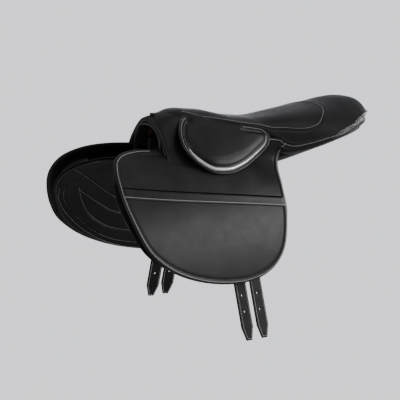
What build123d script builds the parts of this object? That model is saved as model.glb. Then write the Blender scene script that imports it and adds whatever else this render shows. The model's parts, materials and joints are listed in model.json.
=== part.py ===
"""English saddle, exercise pattern: tree, seat, skirts, flaps, panels, stirrup bars and girth straps.

Millimetres. +X runs from the pommel to the cantle, +Z up, and the horse's left (near) side is -Y.
The origin lies on the centre plane in the gullet, where a saddle rack carries the saddle.
Side pieces are modelled on the near side and mirrored to the far side.
"""

import os
from math import cos, radians, sin, tan

from build123d import *

# ---- driving dimensions ----
FLARE = 0.154  # how much wider each side gets for every millimetre towards the front
FLANK_HALF_WIDTH = 69.0  # half width of the flap's outer face at X = 0, where its run starts
FLANK_Z = 18.6
FLANK_RUN = (-60, 240, 20)  # start, end and step of the distance down the flap's face
FLAP_FRONT_X = -346.0
FLAP_REAR_X = 50.0
FLAP_THICKNESS = 4.5
SWEAT_FLAP_DEPTHS = (25.8, 27.8)
SWEAT_FLAP_REAR = 14.0
PANEL_TOP_DEPTH = 28.1
PANEL_THIN = 7.0
PANEL_THICK = 24.0
CHANNEL_HALF_WIDTH = 27.0
BAND_THICKNESS = 2.6

LEATHER = 2.6  # seat leather
GAP = 0.3  # clearance between stacked layers
SEAT_GAP = 1.0  # clearance between the foam, the webbing and the tree
FOAM = 12.0
WEB = 1.6
RAIL_TOP = LEATHER + FOAM + WEB + 3 * SEAT_GAP
RAIL_BOTTOM = RAIL_TOP + 18.5

SPRING = 1.6

BAR_X = (-148.0, -62.0)
BAR_Y = -55.0
BAR_Z = 55.0
BAR_RADIUS = 5.5
PLATE_Y = (-42.0, -38.2)
LUG_LENGTH = 10.0
CATCH_X = -66.0
CATCH_THICKNESS = 3.0
CATCH_RADIUS = 4.2
CATCH_REACH = 15.0
CATCH_PIN_RADIUS = 1.5
RUNNING = 0.05

STRAP_WIDTH = 25.4
STRAP_THICKNESS = 3.6
STRAP_HOLE_RADIUS = 2.4
STRAP_HOLE_PITCH = 29.5
STRAP_TIP_TO_HOLE = 52.0
STRAP_TAPER = 24.0
STRAP_TIP_WIDTH = 11.0
STRAP_PIVOT_Z = -48.0
STRAP_BEND_Z = -182.0
STRAP_END_Z = -284.0
STRAP_UPPER_TILT = 11.5
STRAP_LOWER_TILT = 19.0
STRAP_PIN_RADIUS = 3.0
# Girth straps: x and y at the bend, and how far their pin reaches in to the web.
STRAPS = {"front_billet": (-105.0, -143.8, 5.0), "rear_billet": (-72.0, -143.4, 9.0)}
WEB_DEPTHS = (20.0, 21.5)

# Pommel arch, from its foot to its top: half widths and heights inside and outside.
ARCH_INSIDE = [(43, 49), (42, 62), (37, 77), (24, 89), (0, 92.5)]
ARCH_OUTSIDE = [(72, 49), (62, 62), (48, 79), (26, 98), (0, 108.5)]

# Seat stations: x, half width, centre height, edge height, flatness of the crown.
SEAT = [
    (-188, 43, 112, 92, 3.0),
    (-150, 38, 117, 109, 2.6),
    (-100, 49, 111, 98, 2.8),
    (-50, 55, 98, 88, 3.0),
    (0, 63, 91.3, 77, 3.4),
    (50, 89, 93, 44, 4.4),
    (90, 104, 97.5, 52, 3.6),
    (130, 114, 102.5, 63, 3.0),
    (170, 110, 108, 77, 2.6),
    (205, 92, 115, 88, 2.4),
    (232, 68, 114, 93, 2.3),
    (250, 42, 105, 91, 2.2),
    (259, 22, 97, 90, 2.2),
]
CROWN = (-1, -0.94, -0.82, -0.6, -0.3, 0, 0.3, 0.6, 0.82, 0.94, 1)
RAIL_Y = (-38.0, -22.0)

# Flap outline in side view, from the top of the front edge round to the waist: x, z.
FLAP_EDGE = [
    (-228, 55),
    (-268, 57),
    (-312, 50),
    (-337, 25),
    (-341, -17),
    (-325, -72),
    (-290, -119),
    (-237, -153),
    (-161, -176),
    (-100, -183),
    (-54, -177),
    (-10, -147),
    (9, -95),
    (14, -48),
]
SKIRT_EDGE = [
    (-149, 110),
    (-170, 101),
    (-181, 85),
    (-183, 66),
    (-176, 42),
    (-157, 25),
    (-133, 11),
    (-105, 6),
    (-80, 7.5),
    (-55, 14),
    (-28, 27),
    (-8, 40),
    (0, 58),
]
# Skirt stations: x, y and z of its top edge, y and z of its fullest point.
SKIRT = [
    (-186, -45.0, 94, -72, 60),
    (-150, -38.8, 108, -80, 62),
    (-100, -49.8, 97, -86, 58),
    (-50, -55.8, 87, -86, 52),
    (2, -64.5, 76, -84, 46),
]
SKIRT_THICKNESS = 11.0
SKIRT_REACH = 34  # distance down the flank where the skirt's section ends, before it is trimmed
TRIM_THICKNESS = 1.4
# Upper cushion of the panel: x, inner top z, outer y, outer top z, outer bottom z, inner bottom z.
CUSHION = [
    (-186, 64, 37, 60, 40, 20),
    (-100, 66, 37, 62, 34, 14),
    (-40, 52, 37, 50, 26, 2),
    (20, 48, 52, 42, 16, -4),
    (60, 50, 78, 38, 24, 2),
    (126, 58, 98, 52, 42, 18),
    (180, 64, 88, 62, 52, 36),
    (225, 68, 62, 68, 57, 46),
    (246, 66, 40, 67, 60, 52),
]
CENTRE_SEAM = [(-150, 31), (-100, 42), (-50, 49), (0, 57), (40, 71), (80, 86), (112, 86), (142, 62), (155, 22)]

os.makedirs("parts", exist_ok=True)


# ---- the flank: the curve that every side layer is offset from ----
def flank_angle(s):
    """Angle from the vertical of the flap's face, s millimetres below the start of its run."""
    t = s / 330.0
    return radians(min(61.0, 49.1 - 116.25 * t + 67.7 * t * t))


def flank(depth, first=FLANK_RUN[0], last=FLANK_RUN[1]):
    """Points (y, z) at X = 0 on the near face, depth millimetres inside the flap's outer face."""
    points = []
    y, z, step = -FLANK_HALF_WIDTH, FLANK_Z, 2.0
    run = {0: (y, z)}
    for s in range(0, FLANK_RUN[1], 2):
        angle = flank_angle(s + 1)
        y, z = y - step * sin(angle), z - step * cos(angle)
        run[s + 2] = (y, z)
    y, z = run[0]
    for s in range(0, FLANK_RUN[0], -2):
        angle = flank_angle(s - 1)
        y, z = y + step * sin(angle), z + step * cos(angle)
        run[s - 2] = (y, z)
    for s in range(first, last + 1, FLANK_RUN[2]):
        angle = flank_angle(s)
        points.append((run[s][0] + depth * cos(angle), run[s][1] - depth * sin(angle)))
    return points


def at_front(points):
    """Move points given at X = 0 out to the plane where the side layers start."""
    return [(y + FLARE * FLAP_FRONT_X, z) for y, z in points]


def side_layer(outer, inner):
    """A layer of one side, between two curves, running the flap's whole length with its flare."""
    with BuildPart() as layer:
        with BuildSketch(Plane.YZ.offset(FLAP_FRONT_X)):
            with BuildLine():
                Spline(*at_front(outer))
                Spline(*at_front(inner))
                Line(at_front(outer)[0], at_front(inner)[0])
                Line(at_front(outer)[-1], at_front(inner)[-1])
            make_face()
        length = (FLAP_REAR_X - FLAP_FRONT_X) * (1 + FLARE**2) ** 0.5
        extrude(amount=length, dir=(1, FLARE, 0))
    return layer.part


def in_outline(layer, edge, top):
    """Trim a side layer to a side-view outline: a smooth edge closed by straight lines along its top."""
    with BuildPart() as trimmed:
        add(layer)
        with BuildSketch(Plane.XZ):
            with BuildLine():
                Spline(*edge)
                Polyline(edge[-1], *top, edge[0])
            make_face()
        extrude(amount=400, both=True, mode=Mode.INTERSECT)
    return trimmed.part


def grow(edge, distance):
    """Move an outline's points away from its middle by about the same distance."""
    mid_x, mid_z = -150.0, -50.0
    moved = []
    for x, z in edge:
        reach = ((x - mid_x) ** 2 + (z - mid_z) ** 2) ** 0.5
        moved.append((x + distance * (x - mid_x) / reach, z + distance * (z - mid_z) / reach))
    return moved


def save(shape, name):
    shape.label = name
    export_step(shape, f"parts/{name}.step")


def save_pair(shape, name):
    """Write a near-side piece and its mirror image on the far side."""
    save(shape, f"near_{name}")
    save(mirror(shape, about=Plane.XZ), f"far_{name}")


# ---- seat layers: the seat's crowned surface, cut to depths below it ----
def crown(station, y):
    x, half_width, centre, edge, flatness = station
    return centre - (centre - edge) * abs(y / half_width) ** flatness


def seat_layer(top, bottom, inset=0.0, y_range=None, first=0, last=len(SEAT)):
    """A lofted slab between two depths below the seat's surface."""
    with BuildPart() as slab:
        for station in SEAT[first:last]:
            half = station[1] - inset
            if y_range:
                low, high = y_range
                rows = [low + (high - low) * i / 4 for i in range(5)]
            else:
                rows = [half * share for share in CROWN]
            upper = [(y, crown(station, y) - top) for y in rows]
            lower = [(y, crown(station, y) - bottom) for y in rows]
            with BuildSketch(Plane.YZ.offset(station[0])):
                with BuildLine():
                    Spline(*upper)
                    Spline(*lower)
                    Line(upper[0], lower[0])
                    Line(upper[-1], lower[-1])
                make_face()
        loft()
    return slab.part


# ---- hinge line of the flap ----
def flank_point(s, x, depth):
    y, z = flank(depth, s, s)[0]
    return Vector(x, y + FLARE * x, z)


HINGE_FRONT = flank_point(0, -342, -3.6)
HINGE_REAR = flank_point(60, 14, -3.6)
HINGE_DIR = (HINGE_REAR - HINGE_FRONT).normalized()
HINGE_OUT = Vector(0, -cos(radians(33)), sin(radians(33)))
HINGE_CUT = Plane(origin=HINGE_FRONT, z_dir=HINGE_DIR.cross(HINGE_OUT))
HINGE_GAP = 0.4


def cut_at_hinge(shape, keep_lower):
    """Keep the part of a flap above or below its fold, with a little clearance."""
    up = HINGE_CUT.z_dir if HINGE_CUT.z_dir.Z > 0 else HINGE_CUT.z_dir * -1
    origin = HINGE_FRONT + up * (-HINGE_GAP if keep_lower else HINGE_GAP)
    fold = Plane(origin=origin, z_dir=up)
    return split(shape, bisect_by=fold, keep=Keep.BOTTOM if keep_lower else Keep.TOP)


def make_flap():
    """Leather flap: a fixed top on the tree and the lower part that lifts, with its keeper band."""
    sheet = side_layer(flank(0), flank(FLAP_THICKNESS))
    flap = in_outline(sheet, FLAP_EDGE, [(16, 8), (-20, 20), (-190, 37), (-215, 48)])
    save_pair(cut_at_hinge(flap, keep_lower=False), "flap_top")
    save_pair(cut_at_hinge(flap, keep_lower=True), "flap")
    strip = side_layer(flank(-BAND_THICKNESS), flank(0))
    with BuildPart() as band:
        add(strip)
        with BuildSketch(Plane.XZ):
            Polygon((-337, 8), (9, -47), (7, -63), (-337, -6), align=None)
        extrude(amount=400, both=True, mode=Mode.INTERSECT)
    save_pair(band.part, "flap_band")


def make_under_layers():
    """Sweat flap, stuffed panel and knee block under the flap."""
    sweat_top = [(17 + SWEAT_FLAP_REAR, -8), (-20, -2), (-190, 18), (-222, 36)]
    sweat_edge = [
        (x + SWEAT_FLAP_REAR * max(0, min(1, (x + 60) / 70)), z) for x, z in grow(FLAP_EDGE, 3)
    ]
    sweat = side_layer(flank(SWEAT_FLAP_DEPTHS[0]), flank(SWEAT_FLAP_DEPTHS[1]))
    save_pair(in_outline(sweat, sweat_edge, sweat_top), "sweat_flap")
    thin = flank(PANEL_TOP_DEPTH + PANEL_THIN)
    thick = flank(PANEL_TOP_DEPTH + PANEL_THICK)
    blend = [min(1, max(0, (index - 4) / 5)) for index in range(len(thin))]
    inner = [
        (a[0] * (1 - k) + b[0] * k, a[1] * (1 - k) + b[1] * k)
        for a, b, k in zip(thick, thin, blend)
    ]
    core = side_layer(flank(PANEL_TOP_DEPTH), inner)
    panel = in_outline(core, grow(FLAP_EDGE, -6), [(14, 10), (-20, 30), (-190, 44), (-215, 50)])
    with BuildPart() as front:
        add(panel)
        with Locations((-150, 0, 0)):
            Box(600, 2 * CHANNEL_HALF_WIDTH, 600, mode=Mode.SUBTRACT)
    with BuildPart() as cushion:
        for x, z_in, y_out, z_out, z_low, z_low_in in CUSHION:
            with BuildSketch(Plane.YZ.offset(x)):
                Polygon(
                    (-CHANNEL_HALF_WIDTH, z_in),
                    (-y_out, z_out),
                    (-y_out, z_low),
                    (-CHANNEL_HALF_WIDTH, z_low_in),
                    align=None,
                )
        loft(ruled=True)
    with BuildPart() as whole:
        add(front.part)
        add(cushion.part)
    save_pair(whole.part, "panel")
    block = side_layer(flank(FLAP_THICKNESS + 0.6), flank(SWEAT_FLAP_DEPTHS[0]))
    with BuildPart() as knee:
        add(block)
        with BuildSketch(Plane.XZ):
            with BuildLine():
                Spline((-290, 40), (-326, 24), (-333, -20), (-317, -75), (-288, -108))
                Spline((-288, -108), (-296, -70), (-305, -20), (-290, 40))
            make_face()
        extrude(amount=400, both=True, mode=Mode.INTERSECT)
    save_pair(knee.part, "knee_block")


def make_skirt():
    """Padded skirt over the stirrup bar, with the bright trim strip along its lower edge."""

    def pad(outer_shift, inner_shift):
        with BuildPart() as layer:
            for x, top_y, top_z, full_y, full_z in SKIRT:
                low_out = flank_point(SKIRT_REACH, x, -1 - SKIRT_THICKNESS - outer_shift)
                low_in = flank_point(SKIRT_REACH, x, -1 - SKIRT_THICKNESS - inner_shift)
                outer = [
                    (top_y, top_z + outer_shift),
                    (full_y - 0.8 * outer_shift, full_z + 0.6 * outer_shift),
                    (low_out.Y, low_out.Z),
                ]
                inner = [
                    (top_y, top_z + inner_shift),
                    (full_y - 0.8 * inner_shift, full_z + 0.6 * inner_shift),
                    (low_in.Y, low_in.Z),
                ]
                with BuildSketch(Plane.YZ.offset(x)):
                    with BuildLine():
                        Spline(*outer)
                        Spline(*inner)
                        Line(outer[0], inner[0])
                        Line(outer[-1], inner[-1])
                    make_face()
            loft()
        return layer.part

    save_pair(in_outline(pad(0, -SKIRT_THICKNESS), SKIRT_EDGE, [(-60, 120)]), "skirt")
    upper = grow(SKIRT_EDGE[3:11], 0)
    with BuildPart() as trim:
        add(pad(TRIM_THICKNESS, GAP))
        with BuildSketch(Plane.XZ):
            with BuildLine():
                Spline(*[(x, z + 9) for x, z in upper])
                Spline(*[(x + 2, z + 15) for x, z in upper])
                Line((upper[0][0], upper[0][1] + 9), (upper[0][0] + 2, upper[0][1] + 15))
                Line((upper[-1][0], upper[-1][1] + 9), (upper[-1][0] + 2, upper[-1][1] + 15))
            make_face()
        extrude(amount=400, both=True, mode=Mode.INTERSECT)
    save_pair(trim.part, "skirt_trim")


# ---- girth straps ----
def strap_plane(at, tilt):
    """Plane of a strap: y up along the strap, z outwards, square across the flare."""
    up = Vector(0, sin(radians(tilt)), cos(radians(tilt)))
    out = Vector(1, FLARE, 0).cross(up).normalized()
    return Plane(origin=at, x_dir=up.cross(out), z_dir=out)


def make_strap(name, x, y, pin_reach):
    rise = STRAP_PIVOT_Z - STRAP_BEND_Z
    upper_length = rise / cos(radians(STRAP_UPPER_TILT))
    lower_length = (STRAP_BEND_Z - STRAP_END_Z) / cos(radians(STRAP_LOWER_TILT))
    bend = (x, y, STRAP_BEND_Z)
    upper = strap_plane(bend, STRAP_UPPER_TILT)
    lower = strap_plane(bend, STRAP_LOWER_TILT)
    half = STRAP_WIDTH / 2
    tip = STRAP_TIP_WIDTH / 2
    shoulder = STRAP_TAPER - lower_length
    above_bend = STRAP_TIP_TO_HOLE + 3 * STRAP_HOLE_PITCH + 3 - lower_length
    with BuildPart() as strap:
        with BuildSketch(upper):
            Polygon((-half, 0), (half, 0), (half, upper_length), (-half, upper_length), align=None)
            with Locations((0, upper_length)):
                Circle(half)
            with Locations((0, upper_length)):
                Circle(STRAP_PIN_RADIUS + RUNNING, mode=Mode.SUBTRACT)
            with Locations(*[(0, above_bend + i * STRAP_HOLE_PITCH) for i in range(3)]):
                Circle(STRAP_HOLE_RADIUS, mode=Mode.SUBTRACT)
        extrude(amount=STRAP_THICKNESS / 2, both=True)
        with BuildSketch(lower):
            Polygon(
                (-half, 0),
                (half, 0),
                (half, shoulder),
                (tip, -lower_length),
                (-tip, -lower_length),
                (-half, shoulder),
                align=None,
            )
            with Locations(*[(0, STRAP_TIP_TO_HOLE + i * STRAP_HOLE_PITCH - lower_length) for i in range(2)]):
                Circle(STRAP_HOLE_RADIUS, mode=Mode.SUBTRACT)
        extrude(amount=STRAP_THICKNESS / 2, both=True)
        with BuildSketch(Plane(origin=bend, x_dir=upper.y_dir, z_dir=upper.x_dir)):
            Circle(STRAP_THICKNESS / 2)
        extrude(amount=half, both=True)
    save_pair(strap.part, name)
    pivot = upper.from_local_coords(Vector(0, upper_length, 0))
    head = strap_plane(pivot, STRAP_UPPER_TILT)
    with BuildPart() as pin:
        with BuildSketch(head.offset(-pin_reach)):
            Circle(STRAP_PIN_RADIUS)
        extrude(amount=pin_reach + STRAP_THICKNESS / 2 + GAP)
        with BuildSketch(head.offset(STRAP_THICKNESS / 2 + GAP)):
            Circle(STRAP_PIN_RADIUS + 2.5)
        extrude(amount=1.2)
    return pin.part


def make_straps():
    """Four girth straps, the pins they swing on and the webs that carry the pins."""
    pins = [make_strap(name, *place) for name, place in STRAPS.items()]
    with BuildPart() as group:
        for pin in pins:
            add(pin)
    save_pair(group.part, "billet_pins")
    with BuildPart() as web:
        add(side_layer(flank(WEB_DEPTHS[0]), flank(WEB_DEPTHS[1])))
        with BuildSketch(Plane.XZ):
            Polygon((-118, -60), (-59, -60), (-59, 20), (-118, 20), align=None)
        extrude(amount=400, both=True, mode=Mode.INTERSECT)
    save_pair(web.part, "billet_web")


# ---- stirrup bars ----
def make_stirrup_bar():
    """Forged bar open to the rear, its plate, the safety catch in its forked end and the catch's pin."""
    bar_start = BAR_X[0]
    lug_top = BAR_Z + BAR_RADIUS + 1
    with BuildPart() as bar:
        with BuildSketch(Plane.XZ.offset(-PLATE_Y[1])):
            Polygon(
                (bar_start, BAR_Z - 6),
                (BAR_X[1], BAR_Z - 6),
                (BAR_X[1], 76),
                (bar_start, 84),
                align=None,
            )
        extrude(amount=PLATE_Y[1] - PLATE_Y[0])
        with BuildSketch(Plane.YZ.offset(bar_start)):
            Polygon(
                (PLATE_Y[0], lug_top),
                (BAR_Y - BAR_RADIUS, lug_top),
                (BAR_Y - BAR_RADIUS, BAR_Z - 6),
                (PLATE_Y[0], BAR_Z - 6),
                align=None,
            )
        extrude(amount=LUG_LENGTH)
        with BuildSketch(Plane.YZ.offset(bar_start + LUG_LENGTH)):
            with Locations((BAR_Y, BAR_Z)):
                Circle(BAR_RADIUS)
        extrude(amount=BAR_X[1] - bar_start - LUG_LENGTH)
        with Locations(((CATCH_X - 8 + BAR_X[1] + 1) / 2, BAR_Y, BAR_Z)):
            Box(
                BAR_X[1] + 1 - CATCH_X + 8,
                CATCH_THICKNESS + 0.3,
                20,
                mode=Mode.SUBTRACT,
            )
        with BuildSketch(Plane.XZ.offset(-BAR_Y)):
            with Locations((CATCH_X, BAR_Z)):
                Circle(CATCH_PIN_RADIUS)
        extrude(amount=20, both=True, mode=Mode.SUBTRACT)
    save_pair(bar.part, "stirrup_bar")
    with BuildPart() as catch:
        with BuildSketch(Plane.XZ.offset(-BAR_Y)):
            with Locations((CATCH_X + CATCH_REACH / 2, BAR_Z)):
                SlotCenterToCenter(CATCH_REACH, 2 * CATCH_RADIUS)
            with Locations((CATCH_X, BAR_Z)):
                Circle(CATCH_PIN_RADIUS + RUNNING, mode=Mode.SUBTRACT)
        extrude(amount=CATCH_THICKNESS / 2, both=True)
    save_pair(catch.part, "bar_catch")
    with BuildPart() as pin:
        with BuildSketch(Plane.XZ.offset(-BAR_Y)):
            with Locations((CATCH_X, BAR_Z)):
                Circle(CATCH_PIN_RADIUS)
        extrude(amount=5.2, both=True)
    save_pair(pin.part, "catch_pin")
    with BuildPart() as rivets:
        with BuildSketch(Plane.XZ.offset(-PLATE_Y[1] - 9)):
            with Locations((-138, 80), (-76, 72)):
                Circle(2.5)
        extrude(amount=9 + PLATE_Y[1] - PLATE_Y[0])
    save_pair(rivets.part, "bar_rivets")


# ---- pommel ----
def arch_curve(share):
    """Half of the pommel arch, share of the way from its inside to its outside."""
    half = []
    for (y_in, z_in), (y_out, z_out) in zip(ARCH_INSIDE, ARCH_OUTSIDE):
        half.append((y_in + share * (y_out - y_in), z_in + share * (z_out - z_in)))
    return half + [(-y, z) for y, z in reversed(half[:-1])]


def arch_ring(inside, outside, front, back):
    """An arch between two shares of its thickness, from front to back along X."""
    inner = arch_curve(inside)
    outer = arch_curve(outside)
    with BuildPart() as ring:
        with BuildSketch(Plane.YZ.offset(front)):
            with BuildLine():
                Spline(*inner)
                Spline(*outer)
                Line(inner[0], outer[0])
                Line(inner[-1], outer[-1])
            make_face()
        extrude(amount=back - front)
    return ring.part


def make_pommel():
    """Arch of the tree with its steel head plate, lining, cover, rivets and stud."""
    save(arch_ring(0, 0.16, -212, -189), "gullet_lining")
    save(arch_ring(0.18, 0.32, -208, -192), "head_plate")
    save(arch_ring(0.34, 0.72, -209, -191), "pommel_arch")
    save(arch_ring(0.74, 1, -212, -189), "pommel_cover")
    with BuildPart() as rivets:
        with BuildSketch(Plane.XY.offset(95.2)):
            with Locations((-200, 0)):
                Circle(2.5)
        extrude(amount=8)
    with BuildPart() as side_rivets:
        with BuildSketch(Plane.XZ.offset(49.5)):
            with Locations((-200, 57)):
                Circle(2.5)
        extrude(amount=8.8)
    with BuildPart() as group:
        add(rivets.part)
        add(side_rivets.part)
        add(mirror(side_rivets.part, about=Plane.XZ))
    save(group.part, "head_plate_rivets")
    with BuildPart() as stud:
        with Locations((-200, 0, 110)):
            Cylinder(radius=5, height=2.8)
        fillet(stud.edges().group_by(Axis.Z)[-1], 1.8)
    save(stud.part, "pommel_stud")


make_flap()
make_under_layers()
make_skirt()
make_straps()
make_stirrup_bar()
make_pommel()

# ---- seat ----
cover = seat_layer(0, LEATHER)
with BuildPart() as seat_centre_leather:
    add(cover)
    with BuildSketch(Plane.XY):
        with BuildLine():
            Spline(*CENTRE_SEAM, (158, 0), *[(x, -y) for x, y in reversed(CENTRE_SEAM)])
            Line(CENTRE_SEAM[0], (CENTRE_SEAM[0][0], -CENTRE_SEAM[0][1]))
        make_face()
    extrude(amount=200, mode=Mode.INTERSECT)
save(seat_centre_leather.part, "seat_centre_leather")
with BuildPart() as seat_border_leather:
    add(cover)
    add(seat_centre_leather.part, mode=Mode.SUBTRACT)
save(seat_border_leather.part, "seat_border_leather")
save(seat_layer(LEATHER + GAP, LEATHER + FOAM, inset=3), "seat_foam")

with BuildPart() as cantle_binding:
    add(seat_layer(3, 12, inset=-3, first=5))
    add(seat_layer(2, 13, inset=0, first=5), mode=Mode.SUBTRACT)
    add(cover, mode=Mode.SUBTRACT)
    with BuildSketch(Plane.YZ.offset(SEAT[-1][0])):
        Polygon((-25, 78), (25, 78), (25, 87), (-25, 87), align=None)
    extrude(amount=3)
save(cantle_binding.part, "cantle_binding")

# ---- tree under the seat ----
web_top = LEATHER + FOAM + SEAT_GAP
with BuildPart() as long_webbing:
    add(seat_layer(web_top, web_top + WEB, y_range=(-24, -4), last=11))
    add(seat_layer(web_top, web_top + WEB, y_range=(4, 24), last=11))
save(long_webbing.part, "long_webbing")
save_pair(seat_layer(RAIL_TOP, RAIL_BOTTOM, y_range=RAIL_Y, last=9), "tree_rail")
spring = seat_layer(RAIL_BOTTOM + GAP, RAIL_BOTTOM + SPRING, y_range=(-36, -25), last=9)
save_pair(spring, "spring_rail")
save(seat_layer(RAIL_TOP + GAP, RAIL_TOP + 8, inset=16, first=8, last=11), "cantle_board")
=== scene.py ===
"""Looks of the english saddle: leather, stitching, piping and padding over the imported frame.

The frame's axes: +X to the cantle, +Z up, -Y the near side. Sizes are in millimetres, and mesh_piece
turns them into the scene's metres; the camera, lights and floor are in metres. The side curves repeat
the CAD model's: the flank is the outer face of the flap, and every side layer is offset from it.
"""

import json
from math import cos, radians, sin

import bmesh
import bpy
import numpy as np
from mathutils import Matrix, Vector


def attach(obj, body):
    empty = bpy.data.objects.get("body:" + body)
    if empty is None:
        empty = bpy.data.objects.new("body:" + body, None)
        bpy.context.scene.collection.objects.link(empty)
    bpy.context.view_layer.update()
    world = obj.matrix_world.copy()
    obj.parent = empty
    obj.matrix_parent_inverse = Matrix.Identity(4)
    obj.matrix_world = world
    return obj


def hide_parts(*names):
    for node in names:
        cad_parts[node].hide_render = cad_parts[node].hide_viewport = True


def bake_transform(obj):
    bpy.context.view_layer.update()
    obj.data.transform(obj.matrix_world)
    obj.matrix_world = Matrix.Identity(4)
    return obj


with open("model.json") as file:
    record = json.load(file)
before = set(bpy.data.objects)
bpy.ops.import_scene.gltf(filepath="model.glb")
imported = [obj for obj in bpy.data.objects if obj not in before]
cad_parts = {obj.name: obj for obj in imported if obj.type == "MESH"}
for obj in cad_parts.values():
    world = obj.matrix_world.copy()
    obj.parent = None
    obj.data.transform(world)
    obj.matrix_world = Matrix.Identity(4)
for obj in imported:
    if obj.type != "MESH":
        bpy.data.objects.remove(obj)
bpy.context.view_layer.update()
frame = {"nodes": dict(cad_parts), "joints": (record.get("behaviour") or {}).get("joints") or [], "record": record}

MM = 0.001
FLARE = 0.154
FLANK_START = (69.0, 18.6)  # half width and height where the flank's run starts, at X = 0
FLAP_THICKNESS = 4.5
SWEAT_DEPTHS = (25.8, 27.8)
PANEL_DEPTH = 28.1


# ---------------------------------------------------------------- curves
def flank_table():
    """Half width, height and slope of the flank against distance down it, at X = 0."""
    steps = np.arange(-80.0, 262.0, 2.0)
    share = (steps + 1) / 330
    angle = np.radians(np.minimum(61.0, 49.1 - 116.25 * share + 67.7 * share**2))
    y = np.concatenate([[0], np.cumsum(2 * np.sin(angle))])
    z = np.concatenate([[0], np.cumsum(-2 * np.cos(angle))])
    s = np.append(steps, steps[-1] + 2)
    start = np.argmin(abs(s))
    y += FLANK_START[0] - y[start]
    z += FLANK_START[1] - z[start]
    tilt = np.gradient(y, s), np.gradient(z, s)
    return s, y, z, tilt[0], tilt[1]


S_RUN, Y_RUN, Z_RUN, DY_RUN, DZ_RUN = flank_table()


def flank(x, s, depth):
    """Points (x, half width, z) on the flank, depth inside its outer face. Arrays in, arrays out."""
    dy, dz = np.interp(s, S_RUN, DY_RUN), np.interp(s, S_RUN, DZ_RUN)
    y = np.interp(s, S_RUN, Y_RUN) - FLARE * x + depth * dz
    z = np.interp(s, S_RUN, Z_RUN) - depth * dy
    return np.stack([x + 0 * y, y, z], axis=-1)


def flank_s(z):
    """Distance down the flank of a height on its outer face."""
    return np.interp(-np.asarray(z, float), -Z_RUN, S_RUN)


def smooth_curve(points, count, closed=False):
    """Evenly spaced points on a centripetal Catmull-Rom curve through the given points."""
    p = np.asarray(points, float)
    if closed:
        p = np.vstack([p[-1], p, p[0], p[1]])
    else:
        p = np.vstack([2 * p[0] - p[1], p, 2 * p[-1] - p[-2]])
    dense = []
    for a, b, c, d in zip(p[:-3], p[1:-2], p[2:-1], p[3:]):
        knots = np.cumsum([0] + [max(np.linalg.norm(v), 1e-9) ** 0.5 for v in (b - a, c - b, d - c)])
        t = np.linspace(knots[1], knots[2], 24, endpoint=False)[:, None]
        k0, k1, k2, k3 = knots
        ab = (k1 - t) / (k1 - k0) * a + (t - k0) / (k1 - k0) * b
        bc = (k2 - t) / (k2 - k1) * b + (t - k1) / (k2 - k1) * c
        cd = (k3 - t) / (k3 - k2) * c + (t - k2) / (k3 - k2) * d
        abc = (k2 - t) / (k2 - k0) * ab + (t - k0) / (k2 - k0) * bc
        bcd = (k3 - t) / (k3 - k1) * bc + (t - k1) / (k3 - k1) * cd
        dense.append((k2 - t) / (k2 - k1) * abc + (t - k1) / (k2 - k1) * bcd)
    dense.append(p[-2][None] if not closed else dense[0][:1])
    return even(np.vstack(dense), count, closed)


def softened(x, values, reach=6.0):
    """A table's column on a fine run of x, with its corners rounded off."""
    fine = np.arange(x[0], x[-1] + 0.5, 1.0)
    flat = np.interp(fine, x, values)
    for _ in range(int(reach * reach)):
        middle = (flat[:-2] + 2 * flat[1:-1] + flat[2:]) / 4
        flat = np.concatenate([flat[:1], middle, flat[-1:]])
    return fine, flat


def even(points, count, closed=False):
    """The same line, cut into count evenly spaced points."""
    length = np.concatenate([[0], np.cumsum(np.linalg.norm(np.diff(points, axis=0), axis=1))])
    at = np.linspace(0, length[-1], count + 1 if closed else count)
    out = np.stack([np.interp(at, length, points[:, i]) for i in range(points.shape[1])], axis=1)
    return out[:-1] if closed else out


def inward(ring):
    """Unit normals of a closed plane outline, pointing to its inside."""
    along = np.roll(ring, -1, axis=0) - np.roll(ring, 1, axis=0)
    along /= np.linalg.norm(along, axis=1)[:, None] + 1e-12
    normal = np.stack([-along[:, 1], along[:, 0]], axis=1)
    area = np.sum(ring[:, 0] * np.roll(ring[:, 1], -1) - np.roll(ring[:, 0], -1) * ring[:, 1])
    return normal if area > 0 else -normal


def inward_smooth(outline):
    """The inward normals, evened out round the outline's corners."""
    normal = inward(outline)
    for _ in range(6):
        normal = (normal + np.roll(normal, 1, axis=0) + np.roll(normal, -1, axis=0)) / 3
    return normal


def rings_inside(outline, distances, centre, steps):
    """Rings from the outline inwards: offset by the distances, then shrunk to the centre."""
    normal = inward_smooth(outline)
    rings = []
    for d in distances:
        ring = outline + normal * d
        for _ in range(int(d)):
            ring = (2 * ring + np.roll(ring, 1, axis=0) + np.roll(ring, -1, axis=0)) / 4
        rings.append(ring)
    last, centre = rings[-1], np.asarray(centre, float)
    far = np.linalg.norm(last - centre, axis=1)
    depth = [np.full(len(outline), float(d)) for d in distances]
    for i in range(1, steps):
        share = i / steps
        rings.append(last + (centre - last) * share)
        depth.append(distances[-1] + far * share)
    return rings, depth


# ---------------------------------------------------------------- meshes
def collection_link(obj):
    bpy.context.scene.collection.objects.link(obj)
    return obj


def mesh_piece(name, points, faces, material):
    """A mesh object from points in millimetres."""
    mesh = bpy.data.meshes.new(name)
    mesh.from_pydata([tuple(p) for p in np.asarray(points) * MM], [], [list(map(int, f)) for f in faces])
    mesh.validate()
    mesh.polygons.foreach_set("use_smooth", [True] * len(mesh.polygons))
    mesh.materials.append(material)
    mesh.update()
    return collection_link(bpy.data.objects.new(name, mesh))


def ring_faces(rings, count, closed=True, start=0):
    """Quads between consecutive rings of count points."""
    faces = []
    last = count if closed else count - 1
    for i in range(rings - 1):
        for j in range(last):
            a = start + i * count + j
            b = start + i * count + (j + 1) % count
            faces.append((a, b, b + count, a + count))
    return faces


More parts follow.
